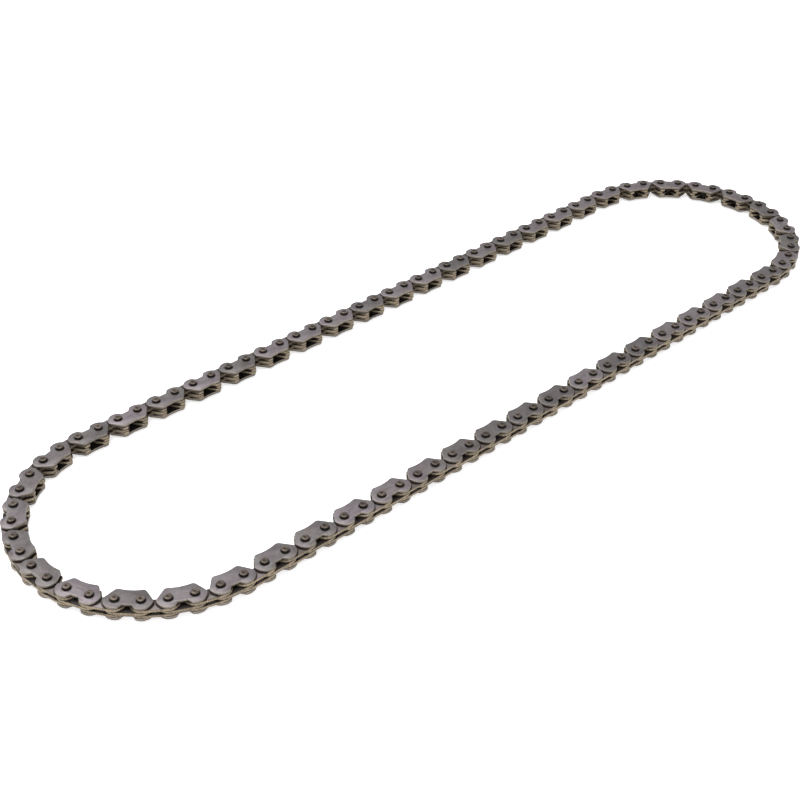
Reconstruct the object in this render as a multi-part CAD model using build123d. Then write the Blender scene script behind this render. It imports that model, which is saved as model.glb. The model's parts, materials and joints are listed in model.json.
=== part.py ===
from build123d import *
import os
from math import asin, atan2, cos, degrees, hypot, radians, sin, sqrt

# Endless inverted-tooth (silent) timing chain, lying flat on its pin ends.
# Millimetres, +Z up. The origin is below the middle of the loop, on the plane that the pins stand on.
# +X runs along the two straight strands, and every toe points into the loop.

# ---- chain ----
PITCH = 6.35  # pin to pin, one quarter inch
PINS = 104  # pins in the loop, and as many links
FULL_TURNS = 17  # pins at each end of the loop that turn by the full end turn
END_TURN = 9.79  # degrees between neighbouring links round each end
LINKS_PER_STRAND_GROUP = 3  # links that stay in line with each other in the straight strands

# ---- plates ----
PLATE_THICKNESS = 0.75
PLATE_GAP = 0.08  # air between neighbouring plates on a pin
LAYERS = 5  # guide, inner, centre, inner, guide
CORNER_RADIUS = 0.25  # blanked corners
NOTCH_CORNER_RADIUS = 0.2

# guide plate, measured from the line through its two pins
LOBE_RADIUS = 2.9  # round each pin, on the back of the chain
FLANK_ANGLE = 54  # degrees between a flank and the pin line
FLANK_OFFSET = 2.52  # from a pin's centre, square to the flank
SHOULDER_HEIGHT = 3.87  # the two inner corners
SHOULDER_RADIUS = 0.6
DIP_HEIGHT = 3.34  # middle of the shallow hollow between them
NOTCH_HEIGHT = -1.5  # top of the notch between the lobes
NOTCH_TOP_HALF = 1.1
NOTCH_MOUTH_HALF = 1.97

# toothed plate, used for the inner links and for the middle of the outer links
END_RADIUS = 2.8  # round each pin
TOE_HEIGHT = 3.75
TOE_OUTER = 3.9  # from the middle of the plate to the outer corner of a toe
TOE_INNER = 2.45
CROTCH_HEIGHT = 0.9
CROTCH_HALF = 1.3
CROTCH_RADIUS = 0.9

# ---- pins ----
PIN_RADIUS = 1.03
PIN_PROUD = 0.8  # beyond the guide plates at both ends
PIN_CHAMFER = 0.12
STAKE_RADIUS = 0.42  # punch mark in each pin end
STAKE_FLOOR_RADIUS = 0.14
STAKE_DEPTH = 0.12
PRESS_GAP = 0.01  # guide plate on its pins
RUNNING_GAP = 0.04  # toothed plate on a pin, radially

LAYER_STEP = PLATE_THICKNESS + PLATE_GAP
STACK_HEIGHT = LAYERS * PLATE_THICKNESS + (LAYERS - 1) * PLATE_GAP
PIN_LENGTH = STACK_HEIGHT + 2 * PIN_PROUD
HALF_PITCH = PITCH / 2
HALF_PINS = PINS // 2
END_REACH = (FULL_TURNS + 1) // 2  # the last pin from each tip that turns
STRAND_END = HALF_PINS - END_REACH  # the first pin of the next end that turns, counted from the tip


# ---- outlines, in the plane of a plate, with the loop's inner side towards +Y ----
def flank_foot():
    """Where the guide plate's flank meets the lobe round its pin."""
    out = (sin(radians(FLANK_ANGLE)), cos(radians(FLANK_ANGLE)))
    along = sqrt(LOBE_RADIUS**2 - FLANK_OFFSET**2)
    x = HALF_PITCH + FLANK_OFFSET * out[0] + along * out[1]
    y = FLANK_OFFSET * out[1] - along * out[0]
    return x, y


def shoulder():
    """The inner corner of the guide plate, on its flank."""
    out = (sin(radians(FLANK_ANGLE)), cos(radians(FLANK_ANGLE)))
    x = HALF_PITCH + (FLANK_OFFSET - SHOULDER_HEIGHT * out[1]) / out[0]
    return x, SHOULDER_HEIGHT


def toe_tangent():
    """Where the line from a toe's outer corner touches the round end of the plate."""
    dx, dy = TOE_OUTER - HALF_PITCH, TOE_HEIGHT
    reach = hypot(dx, dy)
    bearing = atan2(dy, dx) - (radians(90) - asin(END_RADIUS / reach))
    return HALF_PITCH + END_RADIUS * cos(bearing), END_RADIUS * sin(bearing)


def mirrored(point):
    return -point[0], point[1]


def guide_outline():
    foot, corner = flank_foot(), shoulder()
    mouth_x = NOTCH_MOUTH_HALF
    mouth = (mouth_x, -sqrt(LOBE_RADIUS**2 - (HALF_PITCH - mouth_x) ** 2))
    lobe_bottom = (HALF_PITCH, -LOBE_RADIUS)
    notch_top = (NOTCH_TOP_HALF, NOTCH_HEIGHT)
    with BuildSketch() as sketch:
        with BuildLine():
            Line(corner, foot)
            ThreePointArc(foot, lobe_bottom, mouth)
            Line(mouth, notch_top)
            Line(notch_top, mirrored(notch_top))
            Line(mirrored(notch_top), mirrored(mouth))
            ThreePointArc(mirrored(mouth), mirrored(lobe_bottom), mirrored(foot))
            Line(mirrored(foot), mirrored(corner))
            ThreePointArc(mirrored(corner), (0, DIP_HEIGHT), corner)
        make_face()
        fillet(sketch.vertices().filter_by(lambda v: v.Y > DIP_HEIGHT), SHOULDER_RADIUS)
        fillet(sketch.vertices().filter_by(lambda v: v.Y < -PIN_RADIUS), NOTCH_CORNER_RADIUS)
    return sketch.sketch


def toothed_outline():
    tangent = toe_tangent()
    toe_out, toe_in = (TOE_OUTER, TOE_HEIGHT), (TOE_INNER, TOE_HEIGHT)
    crotch = (CROTCH_HALF, CROTCH_HEIGHT)
    end_tip = (HALF_PITCH + END_RADIUS, 0)
    back = (HALF_PITCH, -END_RADIUS)
    with BuildSketch() as sketch:
        with BuildLine():
            Line(toe_in, toe_out)
            Line(toe_out, tangent)
            ThreePointArc(tangent, end_tip, back)
            Line(back, mirrored(back))
            ThreePointArc(mirrored(back), mirrored(end_tip), mirrored(tangent))
            Line(mirrored(tangent), mirrored(toe_out))
            Line(mirrored(toe_out), mirrored(toe_in))
            Line(mirrored(toe_in), mirrored(crotch))
            Line(mirrored(crotch), crotch)
            Line(crotch, toe_in)
        make_face()
        at_toe_height = sketch.vertices().filter_by(lambda v: v.Y > TOE_HEIGHT - CORNER_RADIUS)
        fillet(at_toe_height, CORNER_RADIUS)
        in_crotch = sketch.vertices().filter_by(
            lambda v: abs(v.X) < TOE_INNER and abs(v.Y - CROTCH_HEIGHT) < CORNER_RADIUS
        )
        fillet(in_crotch, CROTCH_RADIUS)
    return sketch.sketch


# ---- pieces, each standing on z = 0 at the middle of its link ----
def plate(outline, hole_gap):
    holes = Sketch() + [Pos(side * HALF_PITCH, 0) * Circle(PIN_RADIUS + hole_gap) for side in (-1, 1)]
    return extrude(outline - holes, PLATE_THICKNESS)


def pin():
    """A riveted pin: chamfered ends with a punch mark in each."""
    body = chamfer(Cylinder(PIN_RADIUS, PIN_LENGTH).edges(), PIN_CHAMFER)
    mark = Pos(0, 0, (PIN_LENGTH - STAKE_DEPTH) / 2) * Cone(STAKE_FLOOR_RADIUS, STAKE_RADIUS, STAKE_DEPTH)
    body -= mark
    body -= Rot(180, 0, 0) * mark
    return Pos(0, 0, PIN_LENGTH / 2) * body


GUIDE_PLATE = plate(guide_outline(), PRESS_GAP)
CENTRE_PLATE = plate(toothed_outline(), RUNNING_GAP)
INNER_PLATE = plate(toothed_outline(), RUNNING_GAP)
PIN = pin()


def layer(number):
    """The height of a plate's lower face, counting plates from the floor up."""
    return PIN_PROUD + number * LAYER_STEP


def outer_link():
    """Two guide plates and a centre plate on two pins."""
    pins = [Pos(side * HALF_PITCH, 0, 0) * PIN for side in (-1, 1)]
    guides = [Pos(0, 0, layer(number)) * GUIDE_PLATE for number in (0, 4)]
    return [*guides, Pos(0, 0, layer(2)) * CENTRE_PLATE, *pins]


def inner_link():
    """Two toothed plates that turn on the pins of the outer links beside them."""
    return [Pos(0, 0, layer(number)) * INNER_PLATE for number in (1, 3)]


# ---- the loop ----
def pin_turn(number):
    """How far the chain turns at a pin, in degrees. Pin 0 is the tip at +X, and the count runs anticlockwise."""
    from_tip = abs((number + HALF_PINS // 2) % HALF_PINS - HALF_PINS // 2)
    if from_tip < END_REACH:
        return END_TURN
    if from_tip == END_REACH:
        return (180 - FULL_TURNS * END_TURN) / 2
    return 0.0


def link_places():
    """The place of every link: middle x, middle y and heading in degrees, centred on the origin."""
    places, x, y, heading = [], 0.0, 0.0, 90 - pin_turn(0) / 2
    for number in range(PINS):
        heading += pin_turn(number)
        step_x, step_y = PITCH * cos(radians(heading)), PITCH * sin(radians(heading))
        places.append((x + step_x / 2, y + step_y / 2, heading))
        x, y = x + step_x, y + step_y
    middle_x = sum(place[0] for place in places) / PINS
    middle_y = sum(place[1] for place in places) / PINS
    return [(x - middle_x, y - middle_y, heading) for x, y, heading in places]


def link_groups():
    """The links of each node, under its name. A link stands alone where the chain turns at every pin."""
    groups = {}
    for half, (end, strand) in enumerate((("right", "far"), ("left", "near"))):
        first = half * HALF_PINS
        for count in range(2 * END_REACH):
            number = first - END_REACH + count
            kind = "outer" if number % 2 == 0 else "inner"
            groups[f"{end}_end_{kind}_link_{count + 1:02d}"] = [number % PINS]
        start, stop, middle = first + END_REACH, first + STRAND_END, first + HALF_PINS // 2
        cuts = sorted(
            {*range(start, middle, LINKS_PER_STRAND_GROUP)}
            | {*range(stop, middle, -LINKS_PER_STRAND_GROUP), middle}
        )
        for count, (low, high) in enumerate(zip(cuts, cuts[1:])):
            groups[f"{strand}_strand_links_{count + 1:02d}"] = list(range(low, high))
    return groups


def main():
    os.makedirs("parts", exist_ok=True)
    places = link_places()
    for name, numbers in link_groups().items():
        solids = []
        for number in numbers:
            x, y, heading = places[number]
            pieces = outer_link() if number % 2 == 0 else inner_link()
            solids += [Pos(x, y, 0) * Rot(0, 0, heading) * piece for piece in pieces]
        export_step(Compound(children=solids), f"parts/{name}.step")


main()
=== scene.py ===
# %% [markdown]
# # An endless silent chain, made link by link
# A silent chain, also called an inverted-tooth chain, drives an engine's camshaft. It has no
# rollers. Flat steel plates with two toes each are stacked on pins, and the toes sit in the teeth
# of the sprockets inside the loop. This script puts a detailed surface on a chain whose sizes and
# hinges come from a CAD model. Everything is in metres, and nothing from the CAD model is moved:
# the new pieces are built round the places that it gives.

# %% Load the frame
import json
import math

import bmesh
import bpy
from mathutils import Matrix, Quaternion, Vector
from mathutils.geometry import tessellate_polygon

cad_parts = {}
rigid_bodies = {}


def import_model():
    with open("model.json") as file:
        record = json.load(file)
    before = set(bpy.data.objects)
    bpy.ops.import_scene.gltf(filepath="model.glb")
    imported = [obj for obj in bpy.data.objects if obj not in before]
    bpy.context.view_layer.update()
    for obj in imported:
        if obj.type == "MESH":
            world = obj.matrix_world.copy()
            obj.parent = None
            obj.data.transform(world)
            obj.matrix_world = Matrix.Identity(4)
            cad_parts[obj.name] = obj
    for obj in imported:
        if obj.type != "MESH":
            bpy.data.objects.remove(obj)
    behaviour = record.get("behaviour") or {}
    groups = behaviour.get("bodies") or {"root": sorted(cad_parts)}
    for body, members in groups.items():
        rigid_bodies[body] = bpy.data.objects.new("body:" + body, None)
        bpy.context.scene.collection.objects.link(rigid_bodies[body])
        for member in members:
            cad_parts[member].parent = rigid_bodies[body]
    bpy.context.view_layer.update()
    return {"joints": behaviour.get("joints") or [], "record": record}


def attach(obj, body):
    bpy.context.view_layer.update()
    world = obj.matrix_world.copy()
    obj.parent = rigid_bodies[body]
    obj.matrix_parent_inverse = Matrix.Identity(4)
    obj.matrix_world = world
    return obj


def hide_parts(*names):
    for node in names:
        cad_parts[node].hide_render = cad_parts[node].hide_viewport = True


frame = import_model()

# %% [markdown]
# ## Sizes
# A chain is described by its pitch, the distance between neighbouring pins, and the rest follows
# from a few plate and pin sizes. Blender works in metres here, so one constant turns millimetres
# into metres, and every size below stays readable. The pitch, the layers and the outlines are the
# CAD model's, so the surfaces land where its solids are. Fine detail is this script's own: rolled
# edges, rounder shoulders on the guide plates, one hole size for all plates, and domed pin ends.

# %% Sizes of the plates and pins
MM = 0.001
PITCH = 6.35 * MM
HALF_PITCH = PITCH / 2
PLATE_THICKNESS = 0.75 * MM
LAYER_STEP = 0.83 * MM  # from one plate to the next on a pin
PIN_RADIUS = 1.03 * MM
PIN_PROUD = 0.8 * MM  # what stands out of the outermost plates
PIN_LENGTH = PLATE_THICKNESS + 4 * LAYER_STEP + 2 * PIN_PROUD
EDGE_ROLL = 0.1 * MM  # how far the press rounds a plate's edges

# %% [markdown]
# ## Where the pins are
# The CAD model has a hinge at every pin where the chain can turn, and each hinge is named after
# its pin, counted round the loop. In the straight strands some links stay in line, so their pins
# are spaced evenly between two hinges. One pin has no hinge, because a closed loop can't be a
# tree of bodies: it is the mirror image of the pin at the other tip.

# %% Pins, links and the body of each link
PINS = 104
TIP, OPEN_TIP = PINS // 2, 0
hinges = {int(joint["name"].rsplit("_", 1)[1]): joint for joint in frame["joints"]}
places = {number: Vector(joint["pos_m"][:2]) for number, joint in hinges.items()}
places[OPEN_TIP] = Vector((-places[TIP].x, places[TIP].y))
known = sorted(places) + [PINS]
places[PINS] = places[OPEN_TIP]
for start, stop in zip(known, known[1:]):
    for number in range(start + 1, stop):
        places[number] = places[start].lerp(places[stop], (number - start) / (stop - start))


def bodies_at(number):
    """The bodies behind and ahead of a hinge, as the links are counted."""
    joint = hinges[number]
    pair = joint["parent"], joint["child"]
    return pair[::-1] if joint["axis"][2] < 0 else pair


body_links = {}
body = bodies_at(1)[0]
for number in range(PINS):
    body = bodies_at(number)[1] if number in hinges else body
    body_links.setdefault(body, []).append(number)
gaps = [(places[number + 1] - places[number]).length / MM for number in range(PINS)]
print("pins", round(min(gaps), 3), "to", round(max(gaps), 3), "mm apart")

# %% [markdown]
# ## The camera
# The chain lies on a table and is seen from one corner, from about 35 degrees above. A lens a
# little longer than a normal one keeps the far end of the loop from shrinking too much. A camera
# looks along its own -Z, so a quaternion that tracks -Z along the line of sight aims it, and a
# very small roll about that line levels the picture.

# %% Camera
CAMERA_PLACE = Vector((-245.5, -243.7, 229.4)) * MM
CAMERA_HEADING = math.radians(42.38)  # from +Y towards +X
CAMERA_ELEVATION = math.radians(35.25)
CAMERA_ROLL = math.radians(-0.09)
LENS, SENSOR_WIDTH = 61.81, 36.0  # millimetres, as cameras count them
camera = bpy.data.objects.new("camera", bpy.data.cameras.new("camera"))
bpy.context.scene.collection.objects.link(camera)
camera.data.lens, camera.data.sensor_width = LENS, SENSOR_WIDTH
camera.data.clip_start = 10 * MM
sight = Vector((
    math.sin(CAMERA_HEADING) * math.cos(CAMERA_ELEVATION),
    math.cos(CAMERA_HEADING) * math.cos(CAMERA_ELEVATION),
    -math.sin(CAMERA_ELEVATION),
))
camera.location = CAMERA_PLACE
camera.rotation_mode = "QUATERNION"
camera.rotation_quaternion = sight.to_track_quat("-Z", "Y") @ Quaternion((0, 0, 1), CAMERA_ROLL)
bpy.context.scene.camera = camera

# %% [markdown]
# ## Outlines of the two stampings
# Each plate is punched from strip, so it is an outline with a thickness. An outline is a list of
# points in the plate's own plane: x runs from pin to pin and y towards the toes. Straight runs
# need only their ends. Arcs and rounded corners get a point every few degrees, which is smooth
# enough and keeps the mesh light.

# %% Helpers for outlines
ARC_STEP = math.radians(14)


def arc(centre, radius, start, stop):
    """Points on an arc, from one angle to the other in degrees."""
    start, stop = math.radians(start), math.radians(stop)
    steps = max(2, round(abs(stop - start) / ARC_STEP))
    angles = [start + (stop - start) * step / steps for step in range(steps + 1)]
    return [Vector(centre) + radius * Vector((math.cos(a), math.sin(a))) for a in angles]


def rounded(before, corner, after, radius, steps=3):
    """Points that turn a corner between two straight runs with an arc."""
    before, corner, after = Vector(before), Vector(corner), Vector(after)
    to_before, to_after = (before - corner).normalized(), (after - corner).normalized()
    half = to_before.angle(to_after) / 2
    centre = corner + (to_before + to_after).normalized() * radius / math.sin(half)
    first = (corner + to_before * radius / math.tan(half) - centre).normalized()
    last = (corner + to_after * radius / math.tan(half) - centre).normalized()
    return [centre + radius * first.slerp(last, step / steps) for step in range(steps + 1)]


def both_halves(right):
    """A whole outline from its right half, which runs from the middle of the back to the front."""
    left = [Vector((-point.x, point.y)) for point in reversed(right) if point.x > 0.01 * MM]
    return right + left


# %% [markdown]
# ### The guide plate
# The two outermost plates of an outer link keep the chain on its sprockets. The back has a lobe
# round each pin with a notch between them, and the front has two blunt shoulders with a shallow
# hollow. Its outline is made from its own rules, such as "this flank is a straight line so far
# from the pin", and not drawn point by point.

# %% Guide plate outline
LOBE_RADIUS = 2.9 * MM
FLANK_ANGLE = math.radians(54)
FLANK_OFFSET = 2.52 * MM
SHOULDER_HEIGHT, DIP_HEIGHT = 3.87 * MM, 3.34 * MM
NOTCH_HEIGHT, NOTCH_TOP_HALF, NOTCH_MOUTH_HALF = -1.5 * MM, 1.1 * MM, 1.97 * MM
SHOULDER_RADIUS, NOTCH_CORNER_RADIUS = 1.1 * MM, 0.2 * MM  # tumbling rounds the shoulders


def guide_outline():
    out = Vector((math.sin(FLANK_ANGLE), math.cos(FLANK_ANGLE)))
    along = Vector((out.y, -out.x))
    pin = Vector((HALF_PITCH, 0))
    foot = pin + FLANK_OFFSET * out + math.sqrt(LOBE_RADIUS**2 - FLANK_OFFSET**2) * along
    shoulder = Vector((HALF_PITCH + (FLANK_OFFSET - SHOULDER_HEIGHT * out.y) / out.x, SHOULDER_HEIGHT))
    mouth = Vector((NOTCH_MOUTH_HALF, -math.sqrt(LOBE_RADIUS**2 - (HALF_PITCH - NOTCH_MOUTH_HALF) ** 2)))
    notch = Vector((NOTCH_TOP_HALF, NOTCH_HEIGHT))
    degrees_at = lambda point: math.degrees(math.atan2(point.y - pin.y, point.x - pin.x))
    lobe = arc(pin, LOBE_RADIUS, degrees_at(mouth) + 5, degrees_at(foot) - 5)
    sag, half = SHOULDER_HEIGHT - DIP_HEIGHT, shoulder.x
    hollow_radius = (half**2 + sag**2) / (2 * sag)
    hollow = [
        Vector((x, DIP_HEIGHT + hollow_radius - math.sqrt(hollow_radius**2 - x**2)))
        for x in (half * 0.75, half * 0.5, half * 0.25, 0)
    ]
    return both_halves([
        Vector((0, NOTCH_HEIGHT)),
        *rounded((0, NOTCH_HEIGHT), notch, mouth, NOTCH_CORNER_RADIUS),
        *rounded(notch, mouth, lobe[0], NOTCH_CORNER_RADIUS),
        *lobe,
        *rounded(lobe[-1], foot, shoulder, NOTCH_CORNER_RADIUS),
        *rounded(foot, shoulder, hollow[0], SHOULDER_RADIUS, 4),
        *hollow,
    ])


# %% [markdown]
# ### The toothed plate
# The plates that do the driving have two toes with a rounded crotch between them. The back is
# straight and each end is round, so neighbours can turn on a shared pin without touching.

# %% Toothed plate outline
END_RADIUS = 2.8 * MM
TOE_HEIGHT, TOE_OUTER, TOE_INNER = 3.75 * MM, 3.9 * MM, 2.45 * MM
CROTCH_HEIGHT, CROTCH_HALF, CROTCH_RADIUS = 0.9 * MM, 1.3 * MM, 0.9 * MM
TOE_CORNER_RADIUS = 0.25 * MM


def toothed_outline():
    toe = Vector((TOE_OUTER - HALF_PITCH, TOE_HEIGHT))
    bearing = math.atan2(toe.y, toe.x) - math.acos(END_RADIUS / toe.length)
    end = arc((HALF_PITCH, 0), END_RADIUS, -90, math.degrees(bearing))
    toe_in, toe_out = (TOE_INNER, TOE_HEIGHT), (TOE_OUTER, TOE_HEIGHT)
    return both_halves([
        Vector((0, -END_RADIUS)),
        *end,
        *rounded(end[-1], toe_out, toe_in, TOE_CORNER_RADIUS),
        *rounded(toe_out, toe_in, (CROTCH_HALF, CROTCH_HEIGHT), TOE_CORNER_RADIUS),
        *rounded(toe_in, (CROTCH_HALF, CROTCH_HEIGHT), (0, CROTCH_HEIGHT), CROTCH_RADIUS, 5),
        Vector((0, CROTCH_HEIGHT)),
    ])


print(len(guide_outline()), "and", len(toothed_outline()), "points in the two outlines")

# %% [markdown]
# ## One stamped plate
# A press doesn't leave a sharp box. It rolls the edge, and tumbling rounds it further, so light
# catches a thin rim all the way round. Here that is geometry: the outline is repeated at six
# heights, drawn in a little at the faces, and the rings are joined. The flat faces are filled
# round the two pin holes. Each point also stores its place in the plate and whether it is on the
# cut edge, for the material to read, because all the plates of a body end up in one mesh.

# %% Plate mesh
HOLE_POINTS = 20
SHARP_ANGLE = math.radians(50)  # an edge that turns more than this is shown sharp
HOLE_RADIUS = PIN_RADIUS + 0.03 * MM


def drawn_in(outline, inset):
    """The outline moved into the plate by a small distance."""
    moved = []
    for before, here, after in zip(outline[-1:] + outline[:-1], outline, outline[1:] + outline[:1]):
        one, two = (here - before).normalized(), (after - here).normalized()
        inward = (Vector((-one.y, one.x)) + Vector((-two.y, two.x))).normalized()
        moved.append(here + inward * inset / max(0.5, inward.dot(Vector((-one.y, one.x)))))
    return moved


def stamped_plate(name, outline):
    half, soft = PLATE_THICKNESS / 2, EDGE_ROLL * (1 - math.sqrt(0.5))
    steps = [(EDGE_ROLL, half, 0), (soft, half - soft, 0.5), (0, half - EDGE_ROLL, 1)]
    rings = [(inset, -height, cut) for inset, height, cut in steps]
    rings += [(inset, height, cut) for inset, height, cut in reversed(steps)]
    mesh = bmesh.new()
    cut_edge = mesh.verts.layers.float.new("cut_edge")
    place = mesh.verts.layers.float_vector.new("plate_place")

    def ring(points, height, cut):
        made = [mesh.verts.new((point.x, point.y, height)) for point in points]
        for vert in made:
            vert[cut_edge], vert[place] = cut, vert.co / MM
        return made

    def join(lower, upper):
        for one, two, three, four in zip(lower, lower[1:] + lower[:1], upper[1:] + upper[:1], upper):
            mesh.faces.new((one, two, three, four)).smooth = True

    walls = [ring(drawn_in(outline, inset), height, cut) for inset, height, cut in rings]
    for lower, upper in zip(walls, walls[1:]):
        join(lower, upper)
    holes = []
    for side in (-1, 1):
        points = [
            Vector((side * HALF_PITCH, 0)) + HOLE_RADIUS * Vector((math.cos(turn), math.sin(turn)))
            for turn in (-2 * math.pi * step / HOLE_POINTS for step in range(HOLE_POINTS))
        ]
        holes.append([ring(points, height, 0) for height in (-half, half)])
        join(*holes[-1])
    for level, outer in ((0, walls[0]), (1, walls[-1])):
        loops = [outer] + [hole[level] for hole in holes]
        verts = [vert for loop in loops for vert in loop]
        for corners in tessellate_polygon([[vert.co for vert in loop] for loop in loops]):
            face = mesh.faces.new([verts[index] for index in corners])
            face.normal_update()
            if (face.normal.z > 0) != (level == 1):
                face.normal_flip()
    shape = bpy.data.meshes.new(name)
    mesh.to_mesh(shape)
    closed = all(len(edge.link_faces) == 2 for edge in mesh.edges)
    volume = round(mesh.calc_volume(signed=True) / MM**3, 2)
    print(name, len(mesh.faces), "faces, closed:", closed, ", volume", volume, "mm3")
    mesh.free()
    shape.set_sharp_from_angle(angle=SHARP_ANGLE)
    made = bpy.data.objects.new(name, shape)
    bpy.context.scene.collection.objects.link(made)
    return made


guide_plate = stamped_plate("guide_plate", guide_outline())
toothed_plate = stamped_plate("toothed_plate", toothed_outline())

# %% [markdown]
# ## One riveted pin
# The pin holds the stack together. Its ends stand proud, are slightly domed, and have a punch
# mark in the middle from the riveting. A turned part is a profile swept round an axis, and bmesh
# has that as spin. The profile is written for the upper half, and the lower half mirrors it.

# %% Pin mesh
PIN_SEGMENTS = 24
half_pin = [  # distance from the axis, and distance below the end, in millimetres
    (0.0, 0.115), (0.14, 0.11), (0.3, 0.05), (0.44, 0.0),
    (0.7, 0.012), (0.86, 0.03), (0.97, 0.08), (1.03, 0.19),
]


def riveted_pin():
    upper = [(radius * MM, PIN_LENGTH / 2 - drop * MM) for radius, drop in half_pin]
    profile = upper + [(radius, -height) for radius, height in reversed(upper)]
    mesh = bmesh.new()
    cut_edge = mesh.verts.layers.float.new("cut_edge")
    place = mesh.verts.layers.float_vector.new("plate_place")
    verts = [mesh.verts.new((radius, 0, height)) for radius, height in profile]
    edges = [mesh.edges.new(pair) for pair in zip(verts, verts[1:])]
    bmesh.ops.spin(
        mesh, geom=verts + edges, cent=(0, 0, 0), axis=(0, 0, 1), angle=2 * math.pi, steps=PIN_SEGMENTS,
        use_merge=True,
    )
    bmesh.ops.remove_doubles(mesh, verts=mesh.verts, dist=0.001 * MM)
    bmesh.ops.recalc_face_normals(mesh, faces=mesh.faces)
    for vert in mesh.verts:
        vert[place] = vert.co / MM
        vert[cut_edge] = 1.0 if vert.co.xy.length > 0.99 * PIN_RADIUS else 0.0
    for face in mesh.faces:
        face.smooth = True
    shape = bpy.data.meshes.new("riveted_pin")
    mesh.to_mesh(shape)
    closed = all(len(edge.link_faces) == 2 for edge in mesh.edges)
    volume = round(mesh.calc_volume(signed=True) / MM**3, 2)
    print("riveted_pin", len(mesh.faces), "faces, closed:", closed, ", volume", volume, "mm3")
    mesh.free()
    made = bpy.data.objects.new("riveted_pin", shape)
    bpy.context.scene.collection.objects.link(made)
    return made


pin_shape = riveted_pin()

# %% [markdown]
# ## Node helpers
# Materials and geometry nodes are both node trees. This helper adds one node, sets its options,
# and either sets or links each input, so that a tree reads like a list of steps.

# %% One helper for all node trees
def add(tree, kind, inputs=None, **options):
    """Adds a node. Each input is a plain value, or another node's output to link."""
    node = tree.nodes.new(kind)
    for option, value in options.items():
        setattr(node, option, value)
    for name, value in (inputs or {}).items():
        if isinstance(value, bpy.types.NodeSocket):
            tree.links.new(value, node.inputs[name])
        else:
            node.inputs[name].default_value = value
    return node


def colour(red, green, blue):
    """A colour as it looks on a screen, 0 to 255, turned into the linear light that shaders use."""
    screen = [value / 255 for value in (red, green, blue)]
    return [v / 12.92 if v <= 0.04045 else ((v + 0.055) / 1.055) ** 2.4 for v in screen] + [1.0]


# %% [markdown]
# ## A short way to write materials
# A procedural material is a tree too, mostly of sums, noise, smooth steps and colour mixes. Each
# of those gets a short method here, and the last method adds the bump and the shader itself.
# Noise reads Object coordinates or a place stored in the mesh, so a pattern never slides when the
# chain moves or leaves Blender.

# %% Shader helpers
class Shader:
    """A material under construction, with short names for the nodes it uses most."""

    def __init__(self, name):
        self.material = bpy.data.materials.new(name)
        self.material.use_nodes = True
        self.tree = self.material.node_tree
        self.tree.nodes.clear()
        self.where = add(self.tree, "ShaderNodeTexCoord").outputs["Object"]

    def stored(self, name, output="Fac"):
        return add(self.tree, "ShaderNodeAttribute", attribute_name=name).outputs[output]

    def math(self, operation, *values, clamp=False):
        node = add(self.tree, "ShaderNodeMath", operation=operation, use_clamp=clamp)
        for socket, value in zip(node.inputs, values):
            if isinstance(value, bpy.types.NodeSocket):
                self.tree.links.new(value, socket)
            else:
                socket.default_value = value
        return node.outputs[0]

    def noise(self, where, scale, detail=3.0, stretch=(1, 1, 1), roughness=0.55):
        scale = [scale * share for share in stretch]
        scaled = add(self.tree, "ShaderNodeMapping", {"Vector": where, "Scale": scale})
        inputs = {"Vector": scaled.outputs[0], "Scale": 1.0, "Detail": detail, "Roughness": roughness}
        return add(self.tree, "ShaderNodeTexNoise", inputs).outputs[0]

    def ramp(self, value, low, high, to_low=0.0, to_high=1.0):
        """A smooth step from one value to another."""
        node = add(self.tree, "ShaderNodeMapRange", interpolation_type="SMOOTHSTEP")
        numbers = {"From Min": low, "From Max": high, "To Min": to_low, "To Max": to_high}
        for name, number in numbers.items():
            node.inputs[name].default_value = number
        self.tree.links.new(value, node.inputs["Value"])
        return node.outputs[0]

    def mix(self, share, one, two):
        node = add(self.tree, "ShaderNodeMix", data_type="RGBA", clamp_factor=True)
        for index, value in ((0, share), (6, one), (7, two)):
            if isinstance(value, bpy.types.NodeSocket):
                self.tree.links.new(value, node.inputs[index])
            else:
                node.inputs[index].default_value = value
        return node.outputs[2]

    def finish(self, base, roughness, height, depth, metallic, specular=0.5, glow=0.0):
        bump = add(self.tree, "ShaderNodeBump", {"Height": height, "Distance": depth, "Strength": 1.0})
        inputs = {"Base Color": base, "Roughness": roughness, "Normal": bump.outputs[0],
                  "Metallic": metallic, "Specular IOR Level": specular,
                  "Emission Color": (1, 1, 1, 1), "Emission Strength": glow}
        surface = add(self.tree, "ShaderNodeBsdfPrincipled", inputs)
        add(self.tree, "ShaderNodeOutputMaterial", {"Surface": surface.outputs[0]})
        return self.material


# %% [markdown]
# ## Steel of the plates
# The plates are punched, hardened and tumbled. Their flat faces are a soft grey with a faint
# violet bloom from the heat, patchy from plate to plate, and the punched edges are straw to tan,
# with fine streaks across the thickness where the punch sheared the steel. A near-black colour,
# partly oil and partly painted shade, rings each pin and fills the grooves between plates.
# Painted shade darkens the crotch between the toes, the faces under the guide lobes, the inner
# faces of the guide plates and the flanks of the toothed plates. The rolled edges of the guide
# plates get a painted highlight. The material reads the place in the plate that each point
# stored, so the pattern is the same on every plate wherever it lies, and Object coordinates add
# what differs from plate to plate.

# %% Plate material
# The first colour is near black: partly oil round the pins and in the grooves, and painted shade in the
# recesses
OIL_AND_SHADE, VIOLET = colour(17, 13, 10), colour(122, 112, 121)
TICKS_FROM = 0.72  # plates with a lighter tone than this carry a row of plain ticks
TICK_ROW, TICK_ROW_HALF, TICK_SPACING = 1.0, 1.3, 0.58  # in millimetres, as the stored places are


def times(colour_, factor):
    """A lighter or darker version of a colour."""
    return [min(1.0, value * factor) for value in colour_[:3]] + [1.0]


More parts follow.
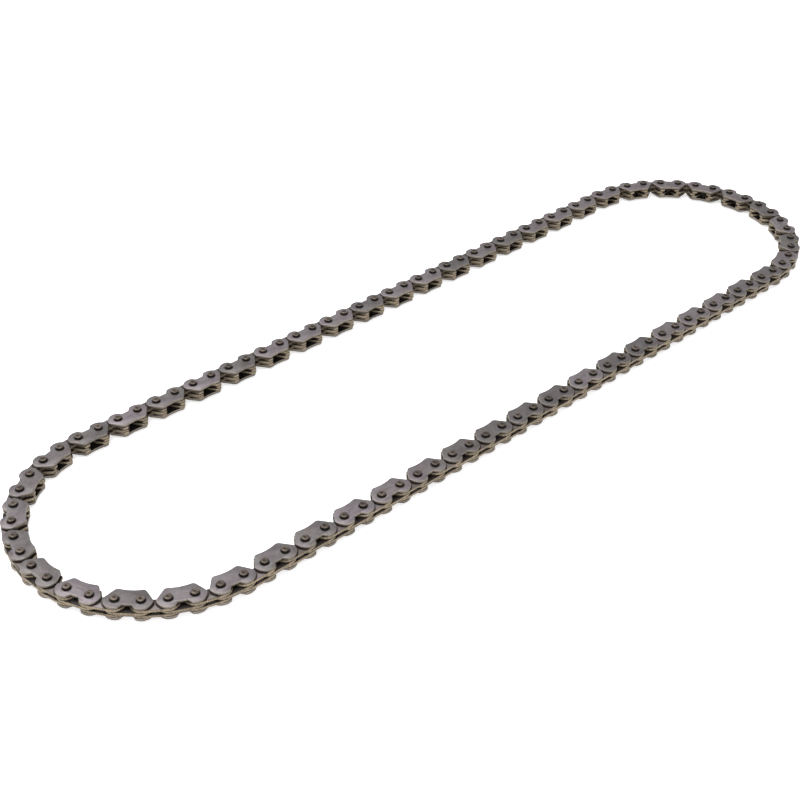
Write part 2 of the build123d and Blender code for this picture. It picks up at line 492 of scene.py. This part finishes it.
def plate_steel(name, face, bloom, edge, edge_dark, stamped):
    s = Shader(name)
    place = s.stored("plate_place", "Vector")
    cut = s.stored("cut_edge")
    tone = s.stored("tone")
    side_of_stack = s.stored("side_of_stack")
    x, y, z = add(s.tree, "ShaderNodeSeparateXYZ", {"Vector": place}).outputs
    across = s.math("ABSOLUTE", x)
    outward = s.math("MULTIPLY", z, side_of_stack)
    # flat faces: blooms, a tint that differs from plate to plate, and tumbling marks
    patches = s.ramp(s.noise(s.where, 170, 4), 0.38, 0.64)
    cloud = s.noise(s.where, 900, 3)
    grain = s.noise(s.where, 5200, 4, roughness=0.7)
    flat = s.mix(s.math("MULTIPLY", patches, 0.8), face, bloom)
    flat = s.mix(s.ramp(tone, 0.2, 0.9, 0, 0.42), flat, VIOLET)
    flat = s.mix(s.ramp(cloud, 0.42, 0.72, 0, 0.4), flat, edge_dark)
    flat = s.mix(s.ramp(grain, 0.5, 0.72, 0, 0.7), flat, times(face, 0.45))
    flat = s.mix(s.ramp(grain, 0.22, 0.45, 0.35, 0), flat, times(face, 1.6))
    # cut edges: streaks across the thickness, a painted highlight on the guide plates' rolled edges, and
    # painted shade, partly oil, where one plate meets the next
    streaks = s.noise(place, 7.0, 4, (1, 1, 0.12), 0.65)
    wall = s.mix(s.ramp(streaks, 0.36, 0.66), edge_dark, edge)
    steel = s.mix(s.ramp(cut, 0.25, 0.8), flat, wall)
    if stamped:
        # painted highlight: the rolled edges of the guide plates are painted lighter, where light would
        # catch them
        rim_highlight = s.math("MULTIPLY", s.ramp(cut, 0.02, 0.4), s.ramp(cut, 0.6, 1.0, 1, 0))
        steel = s.mix(s.math("MULTIPLY", rim_highlight, 0.6), steel, times(face, 1.9))
        # painted shade: the inner face of each guide plate, towards the toothed plates, is painted near
        # black
        on_inner_side = s.ramp(outward, -0.36, -0.3, 1, 0)
        inner_face_shade = s.math("MULTIPLY", on_inner_side, s.ramp(cut, 0.05, 0.3, 1, 0))
        steel = s.mix(s.math("MULTIPLY", inner_face_shade, 0.9), steel, OIL_AND_SHADE)
        shade_band = s.ramp(z, -0.33, -0.1, 1, 0)
    else:
        shade_band = s.ramp(s.math("ABSOLUTE", z), 0.3, 0.37, 0, 0.8)
    # painted shade, partly oil: guide plate walls are darker towards their bottom, toothed plate walls
    # towards both faces
    groove_oil_and_shade = s.math("MULTIPLY", shade_band, s.ramp(cut, 0.05, 0.4))
    steel = s.mix(s.math("MULTIPLY", groove_oil_and_shade, 0.9), steel, OIL_AND_SHADE)
    # a dark ring round each pin, partly oil and partly painted shade, then painted shade under the guide
    # lobes, between the toes and on the flanks
    from_axis = s.math("SUBTRACT", across, HALF_PITCH / MM)
    squares = s.math("MULTIPLY", from_axis, from_axis), s.math("MULTIPLY", y, y)
    from_pin = s.math("SQRT", s.math("ADD", *squares))
    ragged = s.math("ADD", from_pin, s.math("MULTIPLY", s.noise(s.where, 1500), 0.3))
    # partly oil, partly painted shade: a near-black ring round each pin
    steel = s.mix(s.ramp(ragged, 1.3, 1.62, 0.9, 0), steel, OIL_AND_SHADE)
    if not stamped:
        centre_plate = s.stored("centre_plate")
        # painted shade: toothed faces round the pins, out to just past the guide lobes, and all of the
        # centre plate's faces are painted near black
        covered_shade = s.math("MAXIMUM", s.ramp(ragged, 3.1, 3.6, 1, 0), centre_plate)
        steel = s.mix(s.math("MULTIPLY", covered_shade, s.ramp(cut, 0.1, 0.5, 0.9, 0)), steel, OIL_AND_SHADE)
        # painted shade: the crotch between the toes is painted dark, darker on the centre plate
        inside = s.math("MULTIPLY", s.ramp(across, 2.2, 2.6, 1, 0), s.ramp(y, 0.2, 0.7))
        crotch_shade = s.math("MULTIPLY", inside, s.math("MULTIPLY_ADD", centre_plate, 0.45, 0.5))
        steel = s.mix(crotch_shade, steel, OIL_AND_SHADE)
        # painted shade: the toothed plates are painted darker from pin height up towards the toes, fading
        # out at the toe tips
        flank_shade = s.math("MULTIPLY", s.ramp(y, 1.2, 3.3, 0.5, 0), s.ramp(y, -0.6, 0.4))
        steel = s.mix(flank_shade, steel, times(edge_dark, 0.45))
    height = s.math("ADD", grain, s.math("MULTIPLY", s.math("MULTIPLY", streaks, cut), 2.5))
    if stamped:
        row = s.ramp(s.math("ABSOLUTE", s.math("SUBTRACT", y, TICK_ROW)), 0.3, 0.4, 1, 0)
        row_end = s.ramp(across, TICK_ROW_HALF - 0.05, TICK_ROW_HALF + 0.05, 1, 0)
        row = s.math("MULTIPLY", row, row_end)
        tick = s.ramp(s.math("PINGPONG", s.math("ADD", x, 5.0), TICK_SPACING / 2), 0.09, 0.14, 1, 0)
        marked = s.ramp(tone, TICKS_FROM, TICKS_FROM + 0.01)
        mark = s.math("MULTIPLY", s.math("MULTIPLY", row, tick), marked)
        height = s.math("SUBTRACT", height, s.math("MULTIPLY", mark, 8.0))
        steel = s.mix(s.math("MULTIPLY", mark, 0.6), steel, times(face, 0.3))
    brightness = s.math("MULTIPLY_ADD", tone, 0.36, 0.82)
    shaded = add(s.tree, "ShaderNodeVectorMath", {0: steel, 1: brightness}, operation="MULTIPLY")
    rough = s.math("MULTIPLY_ADD", grain, 0.2, s.math("MULTIPLY_ADD", cut, 0.06, 0.36))
    return s.finish(shaded.outputs[0], rough, height, depth=0.005 * MM, metallic=0.72)


guide_steel = plate_steel(
    "guide_plate_steel",
    face=colour(119, 115, 114), bloom=colour(103, 97, 100),
    edge=colour(128, 120, 108), edge_dark=colour(86, 77, 68), stamped=True,
)
toothed_steel = plate_steel(
    "toothed_plate_steel",
    face=colour(110, 104, 100), bloom=colour(98, 89, 88),
    edge=colour(150, 138, 118), edge_dark=colour(96, 83, 67), stamped=False,
)

# %% [markdown]
# ## Steel of the pins
# The pins are harder than the plates and come out of the furnace brown. Their sides are painted
# near black, partly oxide and oil and partly painted shade, and their ends are rubbed to a warm
# grey except in the punch mark, with a painted highlight round the rim of each end.

# %% Pin material
def pin_steel():
    s = Shader("pin_steel")
    place = s.stored("plate_place", "Vector")
    cut = s.stored("cut_edge")
    tone = s.stored("tone")
    xyz = add(s.tree, "ShaderNodeSeparateXYZ", {"Vector": place})
    x, y, _ = xyz.outputs
    radius = s.math("SQRT", s.math("ADD", s.math("MULTIPLY", x, x), s.math("MULTIPLY", y, y)))
    cloud = s.noise(s.where, 1300, 4)
    grain = s.noise(s.where, 7000, 4, roughness=0.7)
    end = s.mix(s.ramp(cloud, 0.4, 0.65), colour(97, 86, 78), colour(66, 58, 52))
    end = s.mix(s.ramp(grain, 0.5, 0.75, 0, 0.5), end, colour(48, 40, 35))
    end = s.mix(s.ramp(radius, 0.3, 0.46, 0.8, 0), end, colour(30, 24, 20))
    # painted highlight: the rounded rim of each pin end is painted lighter
    end = s.mix(s.ramp(radius, 0.84, 0.98, 0, 0.45), end, colour(126, 117, 107))
    # partly oxide and oil, partly painted shade: the proud sides of the pin are painted near black
    oxide_and_shade = s.mix(s.ramp(cloud, 0.35, 0.7), colour(22, 17, 14), colour(34, 27, 22))
    steel = s.mix(s.ramp(cut, 0.3, 0.9), end, oxide_and_shade)
    brightness = s.math("ADD", 0.8, s.math("MULTIPLY", tone, 0.4))
    steel = add(s.tree, "ShaderNodeVectorMath", {0: steel, 1: brightness}, operation="MULTIPLY")
    rough = s.math("ADD", 0.34, s.math("MULTIPLY", grain, 0.2))
    return s.finish(steel.outputs[0], rough, grain, depth=0.003 * MM, metallic=0.75)


pin_material = pin_steel()

# %% [markdown]
# ## Links along the pins, with Geometry Nodes
# A chain is the same few stampings again and again, which is what Geometry Nodes are for. The
# input is a plain path: a vertex for each pin and an edge for each link. The tree turns each edge
# into a point, turns the point along its edge, copies it up to the right layers of the stack and
# puts a plate there. Outer links get two guide plates and a toothed one between them. Inner links
# get two toothed plates. Every pin vertex gets a pin. The tree ends in Realize Instances and Set
# Material, because only a real mesh can leave Blender for another program.

# %% The tree
GUIDE, CENTRE, INNER, RIVETED = range(4)  # the kinds of piece


def link_tree():
    tree = bpy.data.node_groups.new("links_on_pins", "GeometryNodeTree")
    wanted = [
        ("Path", "NodeSocketGeometry"), ("Guide Plate", "NodeSocketObject"),
        ("Toothed Plate", "NodeSocketObject"), ("Pin", "NodeSocketObject"),
        ("First Layer", "NodeSocketFloat"), ("Layer Step", "NodeSocketFloat"),
        ("Pin Middle", "NodeSocketFloat"), ("Seed", "NodeSocketInt"),
        ("Guide Steel", "NodeSocketMaterial"), ("Toothed Steel", "NodeSocketMaterial"),
        ("Pin Steel", "NodeSocketMaterial"),
    ]
    for name, kind in wanted:
        tree.interface.new_socket(name, in_out="INPUT", socket_type=kind)
    tree.interface.new_socket("Links", in_out="OUTPUT", socket_type="NodeSocketGeometry")
    given = add(tree, "NodeGroupInput").outputs

    def named(name, data_type):
        """Reads an attribute by its name."""
        node = add(tree, "GeometryNodeInputNamedAttribute", {"Name": name}, data_type=data_type)
        return node.outputs[0]

    # every edge keeps its direction when it becomes a point
    ends = add(tree, "GeometryNodeInputMeshEdgeVertices").outputs
    inputs = {0: ends["Position 2"], 1: ends["Position 1"]}
    run = add(tree, "ShaderNodeVectorMath", inputs, operation="SUBTRACT")
    inputs = {"Vector": run.outputs[0]}
    turned = add(tree, "FunctionNodeAlignRotationToVector", inputs, axis="X", pivot_axis="Z")
    keep = add(tree, "GeometryNodeCaptureAttribute", domain="EDGE")
    keep.capture_items.new("ROTATION", "Turn")
    tree.links.new(given["Path"], keep.inputs["Geometry"])
    tree.links.new(turned.outputs[0], keep.inputs["Turn"])
    is_outer = named("outer", "BOOLEAN")
    is_inner = add(tree, "FunctionNodeBooleanMath", {0: is_outer}, operation="NOT").outputs[0]
    parts = []

    def line(value, slope, start):
        """A value times a slope, plus a start."""
        inputs = {0: value, 1: slope, 2: start}
        return add(tree, "ShaderNodeMath", inputs, operation="MULTIPLY_ADD").outputs[0]

    def stack(chosen, shape, first, jump, count, kind, side=(0, 0)):
        """Puts copies of one shape on the chosen links, from one layer of the stack upwards."""
        inputs = {"Mesh": keep.outputs["Geometry"], "Selection": chosen}
        points = add(tree, "GeometryNodeMeshToPoints", inputs, mode="EDGES")
        inputs = {"Geometry": points.outputs[0], "Amount": count}
        copies = add(tree, "GeometryNodeDuplicateElements", inputs, domain="POINT")
        index = copies.outputs["Duplicate Index"]
        layer = line(index, jump, first)
        height = line(layer, given["Layer Step"], given["First Layer"])
        towards = line(index, side[1], side[0])
        place(copies.outputs[0], height, shape, kind, towards, keep.outputs["Turn"])

    def place(points, height, shape, kind, side, turn=None):
        """Instances a shape at a height, and notes a random tone and which kind of piece it is."""
        up = add(tree, "ShaderNodeCombineXYZ", {"Z": height})
        raised = add(tree, "GeometryNodeSetPosition", {"Geometry": points, "Offset": up.outputs[0]})
        source = add(tree, "GeometryNodeObjectInfo", {"Object": shape})
        inputs = {"Points": raised.outputs[0], "Instance": source.outputs["Geometry"]}
        if turn:
            inputs["Rotation"] = turn
        copies = add(tree, "GeometryNodeInstanceOnPoints", inputs)
        seed = add(tree, "ShaderNodeMath", {0: given["Seed"], 1: len(parts)}, operation="ADD")
        tone = add(tree, "FunctionNodeRandomValue", {"Seed": seed.outputs[0]}, data_type="FLOAT")
        noted = copies.outputs[0]
        facts = {"tone": tone.outputs[1], "kind": float(kind), "side_of_stack": side,
                 "centre_plate": float(kind == CENTRE)}
        for name, value in facts.items():
            inputs = {"Geometry": noted, "Name": name, "Value": value}
            options = {"data_type": "FLOAT", "domain": "INSTANCE"}
            noted = add(tree, "GeometryNodeStoreNamedAttribute", inputs, **options).outputs[0]
        parts.append(noted)

    stack(is_outer, given["Guide Plate"], 0, 4, 2, GUIDE, side=(-1, 2))
    stack(is_outer, given["Toothed Plate"], 2, 0, 1, CENTRE)
    stack(is_inner, given["Toothed Plate"], 1, 2, 2, INNER)
    has_pin = named("has_pin", "BOOLEAN")
    inputs = {"Mesh": given["Path"], "Selection": has_pin}
    pins = add(tree, "GeometryNodeMeshToPoints", inputs, mode="VERTICES")
    place(pins.outputs[0], given["Pin Middle"], given["Pin"], RIVETED, 0.0)
    joined = add(tree, "GeometryNodeJoinGeometry")
    for part in parts:
        tree.links.new(part, joined.inputs[0])
    real = add(tree, "GeometryNodeRealizeInstances", {"Geometry": joined.outputs[0]}).outputs[0]
    kind = named("kind", "FLOAT")
    steels = {GUIDE: "Guide Steel", CENTRE: "Toothed Steel", INNER: "Toothed Steel", RIVETED: "Pin Steel"}
    for number, material in steels.items():
        inputs = {"A": kind, "B": float(number), "Epsilon": 0.1}
        chosen = add(tree, "FunctionNodeCompare", inputs, data_type="FLOAT", operation="EQUAL")
        inputs = {"Geometry": real, "Selection": chosen.outputs[0], "Material": given[material]}
        real = add(tree, "GeometryNodeSetMaterial", inputs).outputs[0]
    add(tree, "NodeGroupOutput", {"Links": real})
    return tree


links_on_pins = link_tree()

# %% [markdown]
# ## One piece for each body
# Each body of the chain gets its own path and its own copy of the modifier. A modifier's input is
# set by the socket's identifier, since two sockets may share a name. The evaluated object is then
# turned into a plain mesh, so the result no longer depends on nodes, and the piece rides on its
# body and stands for its CAD node.

# %% Build the pieces
def body_path(name, links):
    """The pins and links of one body, as vertices and edges."""
    numbers = [*links, links[-1] + 1]
    mesh = bpy.data.meshes.new(name)
    points = [(*places[number], 0) for number in numbers]
    mesh.from_pydata(points, [(i, i + 1) for i in range(len(links))], [])
    outer = [number % 2 == 0 for number in links]
    mesh.attributes.new("outer", "BOOLEAN", "EDGE").data.foreach_set("value", outer)
    near = [(outer[max(0, i - 1)] or outer[min(i, len(links) - 1)]) for i in range(len(numbers))]
    near[0], near[-1] = outer[0], outer[-1]
    mesh.attributes.new("has_pin", "BOOLEAN", "POINT").data.foreach_set("value", near)
    made = bpy.data.objects.new(name, mesh)
    bpy.context.scene.collection.objects.link(made)
    return made


sockets = links_on_pins.interface.items_tree
identifiers = {item.name: item.identifier for item in sockets if item.in_out == "INPUT"}
shared_inputs = {
    "Guide Plate": guide_plate, "Toothed Plate": toothed_plate, "Pin": pin_shape,
    "First Layer": PIN_PROUD + PLATE_THICKNESS / 2, "Layer Step": LAYER_STEP,
    "Pin Middle": PIN_LENGTH / 2,
    "Guide Steel": guide_steel, "Toothed Steel": toothed_steel, "Pin Steel": pin_material,
}
built = []
for seed, (body, links) in enumerate(sorted(body_links.items())):
    piece = body_path(f"{body}_steel", links)
    modifier = piece.modifiers.new("links", "NODES")
    modifier.node_group = links_on_pins
    for name, value in {**shared_inputs, "Seed": 100 * seed}.items():
        modifier[identifiers[name]] = value
    built.append((piece, modifier, body))

depsgraph = bpy.context.evaluated_depsgraph_get()
triangles = 0
for piece, modifier, body in built:
    plain = bpy.data.meshes.new_from_object(
        piece.evaluated_get(depsgraph), preserve_all_data_layers=True, depsgraph=depsgraph
    )
    piece.modifiers.remove(modifier)
    piece.data = plain
    plain.materials.pop(index=0)  # the slot of the bare path
    for name in ("outer", "has_pin"):
        if name in plain.attributes:
            plain.attributes.remove(plain.attributes[name])
    triangles += sum(len(face.vertices) - 2 for face in plain.polygons)
    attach(piece, body)
    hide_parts(*frame["record"]["behaviour"]["bodies"][body])
for shape in (guide_plate, toothed_plate, pin_shape):
    bpy.data.objects.remove(shape)
print(len(built), "pieces,", triangles, "triangles")

# %% [markdown]
# ## Floor and light
# The chain lies on a plain white table in a white studio. The floor glows a little, which thins
# the shadow on it and lets its edge disappear. A big soft light above and behind, with a weaker
# one in front, draws the rims of the plates. The Standard view transform shows the colours as
# they are set.

# %% Studio
FLOOR_SIZE = 6.0
FLOOR_DROP = 0.02 * MM  # keeps the floor from meeting the pin ends it lies under
FLOOR_GLOW = 0.5  # thins the shadow under the chain
STUDIO_LIGHT = 0.75
floor_mesh = bpy.data.meshes.new("floor")
corner = FLOOR_SIZE / 2
corners = [(-corner, -corner, 0), (corner, -corner, 0), (corner, corner, 0), (-corner, corner, 0)]
floor_mesh.from_pydata(corners, [], [(0, 1, 2, 3)])
floor = bpy.data.objects.new("floor", floor_mesh)
floor.location.z = -FLOOR_DROP
bpy.context.scene.collection.objects.link(floor)
paper = Shader("white_paper")
fibre = paper.noise(paper.where, 400, 4)
white = paper.finish(
    colour(250, 250, 250), roughness=0.85, height=fibre, depth=0.01 * MM, metallic=0.0,
    specular=0.2, glow=FLOOR_GLOW,
)
floor_mesh.materials.append(white)

world = bpy.data.worlds.new("studio")
world.use_nodes = True
background = world.node_tree.nodes["Background"].inputs
background["Color"].default_value = (1, 1, 1, 1)
background["Strength"].default_value = STUDIO_LIGHT
bpy.context.scene.world = world
bpy.context.scene.view_settings.view_transform = "Standard"


def soft_light(name, place, size, power):
    """A square light that faces the middle of the chain."""
    light = bpy.data.lights.new(name, "AREA")
    light.shape, light.size, light.energy = "SQUARE", size, power
    made = bpy.data.objects.new(name, light)
    made.location = place
    made.rotation_mode = "QUATERNION"
    made.rotation_quaternion = (-Vector(place)).to_track_quat("-Z", "Y")
    bpy.context.scene.collection.objects.link(made)


soft_light("top_light", (-0.2, 0.35, 0.9), size=0.9, power=9.0)
soft_light("front_light", (-0.5, -0.7, 0.45), size=0.7, power=3.5)
